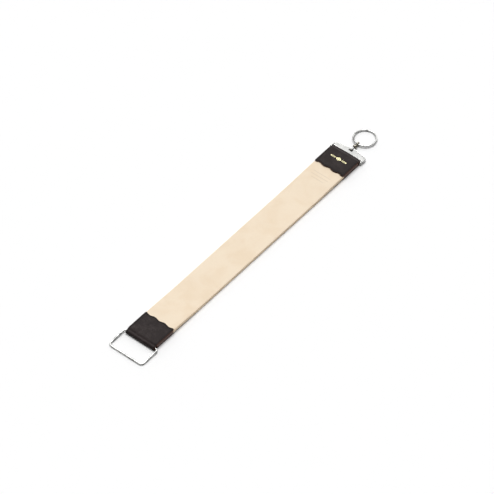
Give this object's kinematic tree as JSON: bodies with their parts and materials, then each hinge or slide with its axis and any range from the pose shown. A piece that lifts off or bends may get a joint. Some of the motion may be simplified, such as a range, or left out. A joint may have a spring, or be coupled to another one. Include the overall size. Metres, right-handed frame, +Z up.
{
  "type": "leather strop",
  "caption": "Hanging leather strop for honing blades: flat leather strap with folded end caps, a swinging wire pull handle and a swivel hanger with a ring.",
  "frame": {"origin": "on the resting surface, below the middle of the whole object", "axes": "+Y along the strap from the wire handle to the hanging ring, +X across the strap, +Z up out of the honing face"},
  "size_m": [0.0608, 0.5352, 0.0082],
  "materials": {
    "tan_leather": "smooth natural vegetable-tanned leather",
    "dark_leather": "grained black-brown leather with a soft sheen",
    "chrome": "bright chrome plate",
    "steel": "plain plated steel"
  },
  "bodies": {
    "strap": {"honing_strap": "tan_leather", "handle_cap": "dark_leather", "hanger_cap": "dark_leather"},
    "handle": {"handle_loop": "chrome"},
    "hanger": {"hanger_plate": "chrome", "hanger_pin": "steel", "swivel_washer": "steel"},
    "swivel": {"swivel_eye": "chrome"},
    "ring": {"hang_ring": "chrome"}
  },
  "joints": [
    {"name": "handle_swing", "type": "hinge", "parent": "strap", "child": "handle", "pos_m": [0, -0.23372, 0.0032], "axis": [-1, 0, 0], "range_deg": [-165, 168]},
    {"name": "hanger_tilt", "type": "hinge", "parent": "strap", "child": "hanger", "pos_m": [0, 0.20788, 0.0032], "axis": [1, 0, 0], "range_deg": [-85, 85]},
    {"name": "swivel_spin", "type": "hinge", "parent": "hanger", "child": "swivel", "pos_m": [0, 0.222, 0.0032], "axis": [0, 1, 0], "continuous": true},
    {"name": "ring_swing", "type": "hinge", "parent": "swivel", "child": "ring", "pos_m": [0, 0.23387, 0.0032], "axis": [-1, 0, 0], "range_deg": [-105, 110]}
  ]
}
